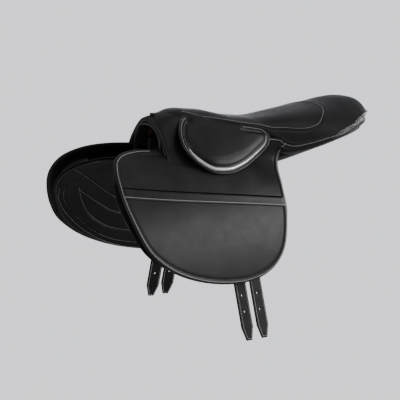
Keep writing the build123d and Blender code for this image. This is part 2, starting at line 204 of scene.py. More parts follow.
def sheet_faces(rows, count, ends=False):
    """Quads of a closed sheet of open rows, whose last row joins its first; ends cap both sides."""
    faces = ring_faces(rows, count, closed=False)
    base = (rows - 1) * count
    faces += [(base + j, base + j + 1, j + 1, j) for j in range(count - 1)]
    if ends:
        faces += [tuple(i * count for i in range(rows))]
        faces += [tuple(i * count + count - 1 for i in range(rows))[::-1]]
    return faces


def placed(obj, body):
    """Sets the body a piece rides on."""
    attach(obj, body)


def sided(points, side):
    """Half widths to Y: the near side is negative."""
    out = np.array(points, float)
    out[..., 1] *= -1 if side == "near" else 1
    return out


def slab(name, front, back, count, centre_front, centre_back, material, side):
    """A closed sheet from two stacks of rings that share their outermost edge loop."""
    rings = front[::-1] + back
    points = [centre_front[None]] + rings + [centre_back[None]]
    stacked = sided(np.vstack(points), side)
    faces = [(0, 1 + (j + 1) % count, 1 + j) for j in range(count)]
    faces += [(a, d, c, b) for a, b, c, d in ring_faces(len(rings), count, start=1)]
    base = 1 + (len(rings) - 1) * count
    end = len(stacked) - 1
    faces += [(end, base + j, base + (j + 1) % count) for j in range(count)]
    if side == "far":
        faces = [face[::-1] for face in faces]
    obj = mesh_piece(name, stacked, faces, material)
    fix_normals(obj)
    return obj


def fix_normals(obj):
    """Outward normals, from the mesh's own volume."""
    work = bmesh.new()
    work.from_mesh(obj.data)
    bmesh.ops.remove_doubles(work, verts=work.verts, dist=1e-6)
    bmesh.ops.recalc_face_normals(work, faces=work.faces)
    if work.calc_volume(signed=True) < 0:
        bmesh.ops.reverse_faces(work, faces=work.faces)
    for face in work.faces:
        face.smooth = True
    work.to_mesh(obj.data)
    work.free()


def tube(name, line, radius, material, sides=10):
    """A round bead along an open line in millimetres, with domed ends."""
    p = np.asarray(line, float)
    along = np.gradient(p, axis=0)
    along /= np.linalg.norm(along, axis=1)[:, None]
    up = np.array([0.0, 0.0, 1.0])
    if np.max(abs(along @ up)) > 0.98:
        up = np.array([0.0, 1.0, 0.0])
    side = np.cross(along, up)
    bad = np.linalg.norm(side, axis=1) < 0.15
    side[bad] = np.cross(along[bad], [1.0, 0.3, 0])
    side /= np.linalg.norm(side, axis=1)[:, None]
    for _ in range(2):
        for i in range(1, len(side)):
            if side[i] @ side[i - 1] < 0:
                side[i] = -side[i]
    top = np.cross(side, along)
    turn = np.linspace(0, 2 * np.pi, sides, endpoint=False)
    grow = np.ones(len(p))
    grow[0] = grow[-1] = 0.5
    rings = [
        p[i] + radius * grow[i] * (np.cos(t) * side[i] + np.sin(t) * top[i])
        for i in range(len(p))
        for t in turn
    ]
    count = len(p)
    faces = ring_faces(count, sides)
    faces += [tuple(range(sides)), tuple((count - 1) * sides + j for j in range(sides))[::-1]]
    obj = mesh_piece(name, rings, faces, material)
    fix_normals(obj)
    return obj


def stitches(name, lines, normals, material, thread=0.42):
    """Separate thread stitches, each a small bead, along one or more lines."""
    points, faces = [], []
    pitch, lift = 4.2, 0.15
    share = np.array([-0.5, -0.36, 0.0, 0.36, 0.5])
    fat = np.array([0.35, 0.85, 1.0, 0.85, 0.35])
    high = np.array([-0.5, 0.1, 0.35, 0.1, -0.5])
    for line, normal in zip(lines, normals):
        step = np.linalg.norm(np.diff(line, axis=0), axis=1)
        length = np.concatenate([[0], np.cumsum(step)])
        number = max(2, int(length[-1] / pitch))
        at = (np.arange(number) + 0.5) * length[-1] / number
        for where in at:
            centre = np.array([np.interp(where, length, line[:, i]) for i in range(3)])
            ahead = np.array([np.interp(where + 0.6, length, line[:, i]) for i in range(3)])
            behind = np.array([np.interp(where - 0.6, length, line[:, i]) for i in range(3)])
            out = np.array([np.interp(where, length, normal[:, i]) for i in range(3)])
            along = ahead - behind
            along /= np.linalg.norm(along) + 1e-12
            out -= (out @ along) * along
            out /= np.linalg.norm(out) + 1e-12
            wide = np.cross(along, out)
            base = len(points)
            for k in range(5):
                mid = centre + along * share[k] * pitch * 0.72 + out * (lift + high[k] * thread)
                for t in range(6):
                    turn = t * np.pi / 3
                    spoke = np.cos(turn) * wide + np.sin(turn) * out
                    points.append(mid + thread * fat[k] * spoke)
            for k in range(4):
                for t in range(6):
                    a, b = base + k * 6 + t, base + k * 6 + (t + 1) % 6
                    faces.append((a, b, b + 6, a + 6))
            faces.append(tuple(base + t for t in range(6))[::-1])
            faces.append(tuple(base + 24 + t for t in range(6)))
    return mesh_piece(name, points, faces, material)


# ---------------------------------------------------------------- materials
def start_material(name):
    """A new material, its nodes and links, its shader and its coordinates."""
    material = bpy.data.materials.new(name)
    material.use_nodes = True
    nodes, links = material.node_tree.nodes, material.node_tree.links
    return material, nodes, links, nodes["Principled BSDF"], nodes.new("ShaderNodeTexCoord")


def polished(nodes, links, noise, shader, low, high):
    """Roughness that wanders between two values."""
    spread = nodes.new("ShaderNodeMapRange")
    spread.inputs["To Min"].default_value = low
    spread.inputs["To Max"].default_value = high
    links.new(noise.outputs["Fac"], spread.inputs["Value"])
    links.new(spread.outputs["Result"], shader.inputs["Roughness"])


def raised(nodes, links, height, shader, strength, distance):
    """Relief from a height, with its distance in metres."""
    relief = nodes.new("ShaderNodeBump")
    relief.inputs["Strength"].default_value = strength
    relief.inputs["Distance"].default_value = distance
    links.new(height, relief.inputs["Height"])
    links.new(relief.outputs["Normal"], shader.inputs["Normal"])


def leather(name, colour, roughness=0.42, grain=900, bump=0.25, mottled=0.25, coat=0.0):
    """Dyed leather: fine pebbled grain, faint creases, uneven dye and an uneven polish."""
    material, nodes, links, shader, where = start_material(name)

    def noise(scale, detail, rough=0.55):
        node = nodes.new("ShaderNodeTexNoise")
        node.inputs["Scale"].default_value = scale
        node.inputs["Detail"].default_value = detail
        node.inputs["Roughness"].default_value = rough
        links.new(where.outputs["Object"], node.inputs["Vector"])
        return node

    cloud = noise(22, 4)
    ramp = nodes.new("ShaderNodeValToRGB")
    ramp.color_ramp.elements[0].position = 0.3
    ramp.color_ramp.elements[1].position = 0.72
    low = [c * (1 - mottled) for c in colour] + [1]
    high = [min(1, c * (1 + mottled) + 0.002) for c in colour] + [1]
    ramp.color_ramp.elements[0].color = low
    ramp.color_ramp.elements[1].color = high
    links.new(cloud.outputs["Fac"], ramp.inputs["Fac"])
    links.new(ramp.outputs["Color"], shader.inputs["Base Color"])

    polish = noise(60, 5)
    polished(nodes, links, polish, shader, roughness - 0.07, roughness + 0.1)

    pebbles = nodes.new("ShaderNodeTexVoronoi")
    pebbles.feature = "DISTANCE_TO_EDGE"
    pebbles.inputs["Scale"].default_value = grain
    warp = noise(180, 3)
    mix = nodes.new("ShaderNodeMix")
    mix.data_type = "VECTOR"
    mix.inputs["Factor"].default_value = 0.006
    links.new(where.outputs["Object"], mix.inputs["A"])
    links.new(warp.outputs["Color"], mix.inputs["B"])
    links.new(mix.outputs["Result"], pebbles.inputs["Vector"])
    edge = nodes.new("ShaderNodeMapRange")
    edge.inputs["From Max"].default_value = 0.12
    links.new(pebbles.outputs["Distance"], edge.inputs["Value"])
    creases = noise(350, 6, 0.65)
    add = nodes.new("ShaderNodeMath")
    add.operation = "MULTIPLY_ADD"
    add.inputs[1].default_value = 0.6
    links.new(creases.outputs["Fac"], add.inputs[0])
    links.new(edge.outputs["Result"], add.inputs[2])
    raised(nodes, links, add.outputs["Value"], shader, bump, 0.00018)
    shader.inputs["Specular IOR Level"].default_value = 0.33
    shader.inputs["Coat Weight"].default_value = coat
    shader.inputs["Coat Roughness"].default_value = 0.25
    return material


def plain(name, colour, metallic=0.0, roughness=0.4, scale=400, bump=0.1, vary=0.15, stretch=(1, 1, 1)):
    """A procedural surface for metal, wood, foam or thread: fine noise in colour, polish and relief."""
    material, nodes, links, shader, where = start_material(name)
    shader.inputs["Metallic"].default_value = metallic
    place = nodes.new("ShaderNodeMapping")
    place.inputs["Scale"].default_value = stretch
    links.new(where.outputs["Object"], place.inputs["Vector"])
    noise = nodes.new("ShaderNodeTexNoise")
    noise.inputs["Scale"].default_value = scale
    noise.inputs["Detail"].default_value = 4
    links.new(place.outputs["Vector"], noise.inputs["Vector"])
    ramp = nodes.new("ShaderNodeValToRGB")
    ramp.color_ramp.elements[0].color = [c * (1 - vary) for c in colour] + [1]
    ramp.color_ramp.elements[1].color = [min(1, c * (1 + vary)) for c in colour] + [1]
    links.new(noise.outputs["Fac"], ramp.inputs["Fac"])
    links.new(ramp.outputs["Color"], shader.inputs["Base Color"])
    polished(nodes, links, noise, shader, max(0.04, roughness - 0.06), roughness + 0.08)
    raised(nodes, links, noise.outputs["Fac"], shader, bump, 0.0002)
    return material


FLAP = leather("flap_leather", (0.012, 0.012, 0.0125), roughness=0.42, mottled=0.35)
SEAT_HIDE = leather("seat_leather", (0.006, 0.006, 0.0063), roughness=0.34, mottled=0.2, coat=0.1)
PAD_HIDE = leather("pad_leather", (0.009, 0.009, 0.0095), roughness=0.38, mottled=0.25)
PANEL_HIDE = leather("panel_leather", (0.003, 0.003, 0.0032), roughness=0.5, mottled=0.2)
EDGE_HIDE = leather("edge_leather", (0.009, 0.009, 0.0095), roughness=0.24, grain=1400, bump=0.12, coat=0.3)
# Painted shadow: near-black, almost unreflective leather for the line of shade above the keeper band.
SHADOW_HIDE = leather("painted_shadow_leather", (0.0012, 0.0012, 0.0012), roughness=0.8)
SHADOW_HIDE.node_tree.nodes["Principled BSDF"].inputs["Specular IOR Level"].default_value = 0.05
STRAP_HIDE = leather("strap_leather", (0.002, 0.002, 0.0021), roughness=0.62)
THREAD = plain("thread", (0.8, 0.8, 0.81), roughness=0.6, scale=2500, bump=0.3)
DARK_THREAD = plain("dark_thread", (0.5, 0.5, 0.51), roughness=0.6, scale=2500, bump=0.3)
SILVER = plain("silver_trim", (0.92, 0.92, 0.93), metallic=0.55, roughness=0.28, scale=300,
               vary=0.03, bump=0.02)
STEEL = plain("forged_steel", (0.55, 0.55, 0.57), metallic=1.0, roughness=0.3, scale=500, bump=0.15)
SPRING_STEEL = plain("spring_steel", (0.05, 0.05, 0.055), metallic=0.6, roughness=0.4, scale=350)
BEECH = plain("stained_beech", (0.035, 0.021, 0.013), roughness=0.45, scale=60, stretch=(0.15, 1, 1),
              vary=0.35)
FOAM = plain("foam", (0.72, 0.68, 0.55), roughness=0.85, scale=1400, bump=0.6)
WEBBING = plain("webbing", (0.55, 0.5, 0.4), roughness=0.8, scale=900, stretch=(0.3, 1, 1), bump=0.6)
BLACK_NAIL = plain("nail_enamel", (0.02, 0.02, 0.021), roughness=0.25, scale=800)

CAD_FINISH = {
    "strap_leather": STRAP_HIDE,
    "bar_steel": STEEL,
    "tree_steel": SPRING_STEEL,
    "tree_wood": BEECH,
    "seat_foam": FOAM,
    "webbing": WEBBING,
    "stud_metal": BLACK_NAIL,
    "flap_leather": FLAP,
    "seat_leather": SEAT_HIDE,
    "panel_leather": PANEL_HIDE,
    "trim_metal": SILVER,
}
for part in frame["record"]["subparts"]:
    node = frame["nodes"][part["node"]]
    for place in node.material_slots:
        place.material = CAD_FINISH[part["material_slot"]]

# ---------------------------------------------------------------- outlines
FLAP_EDGE = [
    (-228, 55), (-268, 57), (-300, 53.5), (-320, 45), (-334, 29), (-341, 5), (-341, -17), (-335, -44),
    (-325, -72), (-310, -99), (-290, -119), (-264, -138), (-237, -152), (-200, -166), (-161, -176),
    (-130, -181), (-100, -183), (-75, -181), (-54, -177), (-30, -166), (-12, -150), (0, -130),
    (8, -100), (13, -70), (15, -48), (17, -25), (22, -2), (29, 20), (36, 38), (42, 50),
]  # fmt: skip
FLAP_TOP = [(10, 60), (-40, 50), (-110, 46), (-165, 48), (-200, 52)]
FLAP_CENTRE = (-150, -50)


def flap_surface(x, z, depth):
    """The flap's face by side-view place: the flank, which turns in to meet the seat at the waist."""
    s = flank_s(z)
    point = flank(x, s, depth)
    seat_x = np.clip(x, -60, 60)
    seat_y = np.interp(seat_x, [-60, -20, 20, 60], [60, 64, 76, 92]) - 3 - depth
    rise = np.clip((z + 25) / 75, 0, 1)
    rear = np.clip((x + 60) / 60, 0, 1)
    share = rise**2 * (3 - 2 * rise) * rear**2 * (3 - 2 * rear)
    point[..., 1] += share * (np.maximum(seat_y, 20) - point[..., 1])
    return point


def surface_normals(function, x, z):
    """Unit normals (outward, half-width side) of a side surface given by side-view place."""
    a = function(x + 1, z) - function(x - 1, z)
    b = function(x, z + 1) - function(x, z - 1)
    n = np.cross(a, b)
    n *= np.sign(n[..., 1:2])
    return n / (np.linalg.norm(n, axis=-1)[..., None] + 1e-12)


# ---------------------------------------------------------------- flaps
EDGE_STEPS = [0, 0.5, 1.4, 2.6, 4.2, 6.0, 7.2, 8.0, 8.7, 9.4, 10.4, 12, 16]
EDGE_HEIGHT = [-2.2, -0.9, 0.1, 0.7, 1.0, 0.8, 0.4, -0.2, -0.9, -0.8, -0.3, 0.0, 0.0]


def flap_piece(side):
    """The flap's leather with its raised and creased edge."""
    outline = smooth_curve(FLAP_EDGE + FLAP_TOP, 260, True)
    rings, depth = rings_inside(outline, EDGE_STEPS, FLAP_CENTRE, 30)
    front, back = [], []
    for ring, deep in zip(rings, depth):
        height = np.interp(deep, EDGE_STEPS, EDGE_HEIGHT)
        front.append(flap_surface(ring[:, 0], ring[:, 1], -height))
    for ring, deep in list(zip(rings, depth))[1:]:
        thick = np.interp(deep, [0, 1.5, 4, 8], [2.2, 3.8, FLAP_THICKNESS, FLAP_THICKNESS])
        back.append(flap_surface(ring[:, 0], ring[:, 1], thick))
    middle = [flap_surface(*FLAP_CENTRE, deep) for deep in (0.0, FLAP_THICKNESS)]
    obj = slab(f"{side}_flap_leather", front, back, len(outline), *middle, FLAP, side)
    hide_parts(f"{side}_flap", f"{side}_flap_top")
    return obj, outline


def side_line(outline, inset, lift, function, side, part):
    """Part of a line on a side surface, inset from an outline, with its surface normals."""
    ring = (outline + inward_smooth(outline) * inset)[part]
    normal = surface_normals(function, ring[:, 0], ring[:, 1])
    points = function(ring[:, 0], ring[:, 1]) + normal * lift
    return sided(points, side), sided(normal, side)


def fold_blend(obj, side):
    """Bake a flap piece's transform; the joint where the leather folds, just below the skirt, is read but the
    piece is not bent.
    """
    joint = next(j for j in frame["joints"] if j["name"] == f"{side}_flap_fold")
    pos, axis = np.array(joint["pos_m"]), np.array(joint["axis"])
    outward = -1 if side == "near" else 1
    out = np.array([0, outward, 0]) * cos(radians(33)) + np.array([0, 0, sin(radians(33))])
    down = np.cross(axis, out)
    down /= np.linalg.norm(down)
    if down[2] > 0:
        down = -down
    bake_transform(obj)


def flap_face(x, z):
    return flap_surface(x, z, 0.0)


BAND_TOP = [(-337.5, 7.5), (-250, -7), (-150, -22), (-70, -34), (12, -47)]


def band_piece(side):
    """Keeper band across the flap: a folded strip with a rolled top edge, a near-black bead of painted shadow
    above it, and its stitches.
    """
    count = 120
    top = smooth_curve(BAND_TOP, count)
    rows = np.array([0, 0.5, 1.4, 2.6, 5, 8, 11, 13.5, 15, 15.8, 16.2])
    height = np.array([0.2, 1.8, 2.6, 2.8, 2.3, 2.0, 1.9, 1.8, 1.6, 1.0, 0.1])
    ends = np.clip(np.minimum(np.arange(count), np.arange(count)[::-1]) / 3, 0, 1)
    grid = []
    for row, high in zip(rows, height):
        x = top[:, 0] + row * 0.06
        z = top[:, 1] - row
        normal = surface_normals(flap_face, x, z)
        grid.append(flap_face(x, z) + normal * (high * (0.2 + 0.8 * ends))[:, None])
    for row in rows[::-1]:
        x = top[:, 0] + row * 0.06
        z = top[:, 1] - row
        normal = surface_normals(flap_face, x, z)
        grid.append(flap_face(x, z) - normal * 0.5)
    points = sided(np.vstack(grid), side)
    faces = sheet_faces(len(grid), count, ends=True)
    obj = mesh_piece(f"{side}_band_leather", points, faces, FLAP)
    fix_normals(obj)
    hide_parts(f"{side}_flap_band")
    placed(obj, f"{side}_flap")
    # A near-black bead just above the band's top edge: painted shadow for the shade over its rolled top.
    x, z = top[2:-2, 0], top[2:-2, 1] + 0.9
    normal = surface_normals(flap_face, x, z)
    shadow_bead = tube(f"{side}_band_painted_shadow", sided(flap_face(x, z) + normal * 0.3, side), 1.15, SHADOW_HIDE)
    placed(shadow_bead, f"{side}_flap")
    x, z = top[:, 0] + 0.8, top[:, 1] - 13.4
    normal = surface_normals(flap_face, x, z)
    line = sided(flap_face(x, z) + normal * 1.9, side)
    sewn = stitches(f"{side}_band_stitches", [line], [sided(normal, side)], THREAD, thread=0.48)
    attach(sewn, f"{side}_flap")


def make_flap(side):
    obj, outline = flap_piece(side)
    fold_blend(obj, side)
    visible = slice(2, 207)
    line, normal = side_line(outline, 4.6, 1.0, flap_face, side, visible)
    sewn = stitches(f"{side}_flap_stitches", [line], [normal], THREAD, thread=0.48)
    fold_blend(sewn, side)
    band_piece(side)


# ---------------------------------------------------------------- skirts
SKIRT_EDGE = [
    (-149, 110), (-163, 106), (-172, 99.5), (-180, 88), (-184.5, 74), (-184, 62), (-179, 48), (-170, 36),
    (-157, 24.5), (-145, 16.5), (-132, 10.5), (-112, 7), (-89, 6.3), (-67, 10.5), (-45, 17.5), (-28, 24.5),
    (-10, 34), (4, 46), (9, 60), (7, 70), (-1, 77.5),
]  # fmt: skip
SKIRT_TOP = [(-20, 82.5), (-52, 88), (-94, 97), (-126, 108)]
SKIRT_CENTRE = (-85, 62)
SKIRT_STEPS = [0, 0.6, 1.6, 2.8, 4.0, 5.0, 6.0, 7.5, 9.0, 10.2, 11.2, 12.0, 13.0, 14.5, 17, 22, 30]
SKIRT_HEIGHT = [-3.5, -1.2, 0.4, 0.9, 0.4, -0.9, -0.6, -0.2, -0.2, -0.9, -1.2, 0.2, 1.8, 3.0, 4.2, 5.2, 6.0]
SKIRT_RUN = np.array([-186.0, -150, -126, -94, -52, -1, 36])
SKIRT_X, SKIRT_TOP_Y = softened(SKIRT_RUN, np.array([47.0, 36, 43, 49, 54.5, 62, 70]) - 1.5)
SKIRT_TOP_Z = softened(SKIRT_RUN, np.array([106.0, 111, 108, 97, 88, 77.5, 72]))[1]


def skirt_face(x, z):
    """The skirt's face: out of the seat's seam, over the bar, and down on the flap."""
    x, z = np.asarray(x, float), np.asarray(z, float)
    top_y = np.interp(x, SKIRT_X, SKIRT_TOP_Y)
    top_z = np.interp(x, SKIRT_X, SKIRT_TOP_Z)
    low = flap_surface(x, np.full_like(x, 6.0) + 0 * z, -5.0)
    low_y = low[..., 1]
    share = np.clip((top_z - z) / (top_z - 6), -0.1, 1.15)
    swell = np.sin(np.pi * np.clip(share, 0, 1)) * 3.0
    y = top_y + (low_y - top_y) * np.sign(share) * abs(share) ** 0.92 + swell
    return np.stack([x + 0 * y, y, z + 0 * y], axis=-1)


def on_face(face, ring, lift):
    """Points over a side surface, lifted along its normals."""
    normal = surface_normals(face, ring[:, 0], ring[:, 1])
    lift = np.broadcast_to(np.asarray(lift, float), (len(ring),))
    return face(ring[:, 0], ring[:, 1]) + normal * lift[:, None]


def make_skirt(side):
    """The padded skirt with its bordered free edge, pipings, stitch rows and silver strip."""
    outline = smooth_curve(SKIRT_EDGE + SKIRT_TOP, 220, True)
    rings, depth = rings_inside(outline, SKIRT_STEPS[:14], SKIRT_CENTRE, 22)
    # The border runs only round the free edge: at the seat's seam the pad goes straight in.
    free = np.array([1.0 if i < 172 else 0.0 for i in range(220)])
    for _ in range(8):
        free = (free + np.roll(free, 1) + np.roll(free, -1)) / 3
    front, back = [], []
    for ring, deep in zip(rings, depth):
        bordered = np.interp(deep, SKIRT_STEPS, SKIRT_HEIGHT)
        plain_pad = np.interp(deep, [0, 2, 8, 20, 30], [-3.5, 0.5, 3.5, 5.2, 6.0])
        front.append(on_face(skirt_face, ring, free * bordered + (1 - free) * plain_pad))
    for ring, deep in list(zip(rings, depth))[1:]:
        back.append(on_face(skirt_face, ring, np.interp(deep, [0, 2, 14, 26], [-4.5, -5.0, -4.0, -2.0])))
    centre = np.array([SKIRT_CENTRE], float)
    middle = [on_face(skirt_face, centre, high)[0] for high in (6.0, -2.0)]
    obj = slab(f"{side}_skirt_leather", front, back, 220, *middle, PAD_HIDE, side)
    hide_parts(f"{side}_skirt")
    placed(obj, f"{side}_skirt")
    lines, normals = [], []
    for inset, height in ((5.2, -0.55), (10.6, -0.9)):
        line, normal = side_line(outline, inset, height, skirt_face, side, slice(4, 170))
        lines.append(line)
        normals.append(normal)
    sewn = stitches(f"{side}_skirt_stitches", lines, normals, THREAD)
    placed(sewn, f"{side}_skirt")
    for name, inset, height, radius in (("edge_piping", 1.0, -0.6, 1.5), ("pad_piping", 12.4, 0.6, 1.5)):
        line, _ = side_line(outline, inset, height, skirt_face, side, slice(3, 171))
        bead = tube(f"{side}_skirt_{name}", line, radius, EDGE_HIDE)
        placed(bead, f"{side}_skirt")
    across = inward_smooth(outline)[36:142]
    middle = outline[36:142] + across * 8.2
    along = np.linspace(0.0, 1.0, len(middle))
    width = 2.6 * np.clip(np.minimum(along / 0.12, (1 - along) / 0.55), 0.05, 1) ** 0.6
    rows = []
    section = [(-1, 0.0), (-0.8, 0.9), (-0.4, 1.6), (0, 1.8), (0.4, 1.6), (0.8, 0.9), (1, 0.0), (0, -0.6)]
    for share, high in section:
        rows.append(on_face(skirt_face, middle + across * (share * width)[:, None], high))
    points = sided(np.vstack(rows), side)
    faces = sheet_faces(len(rows), len(middle))
    strip = mesh_piece(f"{side}_silver_strip", points, faces, SILVER)
    fix_normals(strip)
    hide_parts(f"{side}_skirt_trim")
    placed(strip, f"{side}_skirt")


# ---------------------------------------------------------------- seat
# Stations along the seat: x, half width, height in the middle, height at the edge, power of the crown.
SEAT = [
    (-180, 18, 111.3, 108, 3), (-168, 32, 115.5, 106, 2.8), (-150, 38, 117, 109, 2.6),
    (-100, 49, 111, 98, 2.8), (-50, 55, 98, 88, 3), (0, 63, 91.3, 77, 3.4), (25, 74, 91.3, 60, 3.9),
    (50, 89, 93, 46, 4.2), (90, 104, 97.5, 54, 3.6), (130, 114, 102.5, 64, 3.0),
    (170, 108, 108.5, 77, 2.6), (195, 95, 114.6, 86, 2.4), (215, 84, 117.0, 91, 2.4),
    (232, 71, 116, 93, 2.5), (247, 53, 111.5, 91, 2.6), (257, 33, 103, 88, 2.6), (262, 12, 94, 86, 2.4),
]  # fmt: skip
SEAT_TABLE = np.array(SEAT, float)
SEAT_X, SEAT_W = softened(SEAT_TABLE[:, 0], SEAT_TABLE[:, 1])
SEAT_C, SEAT_E, SEAT_F = (softened(SEAT_TABLE[:, 0], SEAT_TABLE[:, i])[1] for i in (2, 3, 4))
CENTRE_SEAM = [
    (-156, 30), (-147, 35), (-126, 44), (-94, 49), (-52, 54), (-1, 60.5), (36, 69.5), (69, 84), (90, 90.5),
    (108, 90), (124, 80), (138, 64), (150, 44), (156, 22), (158, 0),
]  # fmt: skip


def seat_top(x, y):
    """Height of the seat over a place in plan."""
    wide = np.interp(x, SEAT_X, SEAT_W)
    share = np.clip(abs(y) / np.maximum(wide, 0.5), 0, 1.0)
    high, low = np.interp(x, SEAT_X, SEAT_C), np.interp(x, SEAT_X, SEAT_E)
    return high - (high - low) * share ** np.interp(x, SEAT_X, SEAT_F)


def distance_to(line, x, y):
    """Distance of each place from a dense plane line."""
    best = np.full(x.shape, 1e9)
    for px, py in line:
        best = np.minimum(best, (x - px) ** 2 + (y - py) ** 2)
    return np.sqrt(best)


def make_seat():
    """The seat's leather in one skin, grooved along its seam, with the row of stitches beside it."""
    rounded = 245 + 17 * np.sin(np.linspace(0, 1, 14)[1:] * np.pi / 2)
    stations = np.concatenate([np.linspace(-180, 245, 226), rounded])
    across = 121
    share = np.sin(np.linspace(-1, 1, across) * np.pi / 2)
    half = smooth_curve(CENTRE_SEAM, 300)
    seam = np.vstack([half * [1, -1], half[::-1]])
    wide = np.interp(stations, SEAT_X, SEAT_W)
    x = np.repeat(stations[:, None], across, 1)
    y = wide[:, None] * share[None, :]
    gap = distance_to(seam[::2], x, y)
    groove = -1.5 * np.exp(-((gap / 1.6) ** 2)) + 0.7 * np.exp(-(((gap - 3.6) / 2.2) ** 2))
    top = seat_top(x, y) + groove
    upper = np.stack([x, y, top], axis=-1)
    tuck = np.stack([x[:, [0, -1]], y[:, [0, -1]] * 0.955, top[:, [0, -1]] - 8.0], axis=-1)
    ring = [upper[:, 0:1], upper[:, 1:-1], upper[:, -1:], tuck[:, 1:2]]
    under = np.stack([x[:, ::-4], y[:, ::-4] * 0.9, top[:, ::-4] - 15.5], axis=-1)
    rows = np.concatenate(ring + [under, tuck[:, 0:1]], axis=1)
    count = rows.shape[1]
    points = rows.reshape(-1, 3)
    faces = ring_faces(len(stations), count)
    faces += [tuple(range(count))[::-1], tuple((len(stations) - 1) * count + j for j in range(count))]
    obj = mesh_piece("seat_leather_cover", points, faces, SEAT_HIDE)
    fix_normals(obj)
    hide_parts("seat_centre_leather", "seat_border_leather", "seat_foam")
    placed(obj, "root")
    beside = np.stack([-np.gradient(seam[:, 1]), np.gradient(seam[:, 0])], axis=1)
    beside /= np.linalg.norm(beside, axis=1)[:, None] + 1e-9
    line = seam + beside * 2.6
    line = line[(abs(line[:, 1]) < np.interp(line[:, 0], SEAT_X, SEAT_W) - 1.0)]
    z = seat_top(line[:, 0], line[:, 1]) + 0.7
    dx = (seat_top(line[:, 0] + 1, line[:, 1]) - seat_top(line[:, 0] - 1, line[:, 1])) / 2
    dy = (seat_top(line[:, 0], line[:, 1] + 1) - seat_top(line[:, 0], line[:, 1] - 1)) / 2
    lines = [np.column_stack([line, z])]
    normals = [np.stack([-dx, -dy, np.ones_like(dx)], axis=1)]
    sewn = stitches("seat_seam_stitches", lines, normals, DARK_THREAD)
    placed(sewn, "root")


FACING_LOW = [
    (30, 66, 30), (45, 76, 25), (70, 86, 28), (100, 92, 35), (124, 95, 42), (150, 94, 48), (175, 88, 54),
    (198, 77, 58.5), (218, 65, 60.5), (234, 52, 61), (247, 37, 60), (256, 19, 59), (258.5, 0, 58.5),
]  # fmt: skip


def round_cantle(points, count):
    """A line round the back of the seat, near side to far side."""
    half = smooth_curve(points, count)
    return np.vstack([half * [1, -1, 1], half[::-1][1:]])


def make_cantle():
    """Rolled welt round the cantle, with the facing and a row of stitches below it."""
    run = np.concatenate([np.arange(30, 240, 14), [247, 254, 259, 262]])
    wide, low_edge = np.interp(run, SEAT_X, SEAT_W), np.interp(run, SEAT_X, SEAT_E)
    edge = np.column_stack([run, wide + 0.6, low_edge - 1.2])
    edge = np.vstack([edge, [263.2, 0, 86]])
    high, low = round_cantle(edge, 150), round_cantle(FACING_LOW, 150)
    bead = tube("cantle_welt", high, 2.7, EDGE_HIDE, sides=12)
    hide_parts("cantle_binding")
    placed(bead, "root")
    second = tube("cantle_lower_welt", low + (high - low) * 0.62, 1.7, EDGE_HIDE)
    placed(second, "root")
    rows = []
    shares = np.linspace(0, 1, 15)
    out = np.stack([high[:, 0] - 120, high[:, 1], 0 * high[:, 0]], axis=1)
    out /= np.linalg.norm(out, axis=1)[:, None]
    for share in shares:
        below_welt = np.sin(np.pi * np.clip(share, 0, 0.62) / 0.62) * (share < 0.62)
        puff = 1.2 * np.sin(np.pi * share) + 4.5 * below_welt
        rows.append(low + (high - low) * share + out * puff)
    for share in shares[::-2]:
        rows.append(low + (high - low) * share - out * 5.0)
    faces = sheet_faces(len(rows), len(high))
    obj = mesh_piece("cantle_facing", np.vstack(rows), faces, SEAT_HIDE)
    fix_normals(obj)
    placed(obj, "root")
    lines = [low + (high - low) * 0.78 + out * 1.6]
    sewn = stitches("cantle_stitches", lines, [out], THREAD, thread=0.48)
    placed(sewn, "root")


# ---------------------------------------------------------------- pommel
def arch_line(points, count, x=0.0):
    """A whole arch, near foot to far foot, from half a curve (half width, height)."""
    half = smooth_curve(points, count)
    near = np.column_stack([np.full(count, x), -half[:, 0], half[:, 1]])
    far = near[::-1][1:] * [1, -1, 1]
    return np.vstack([near, far])


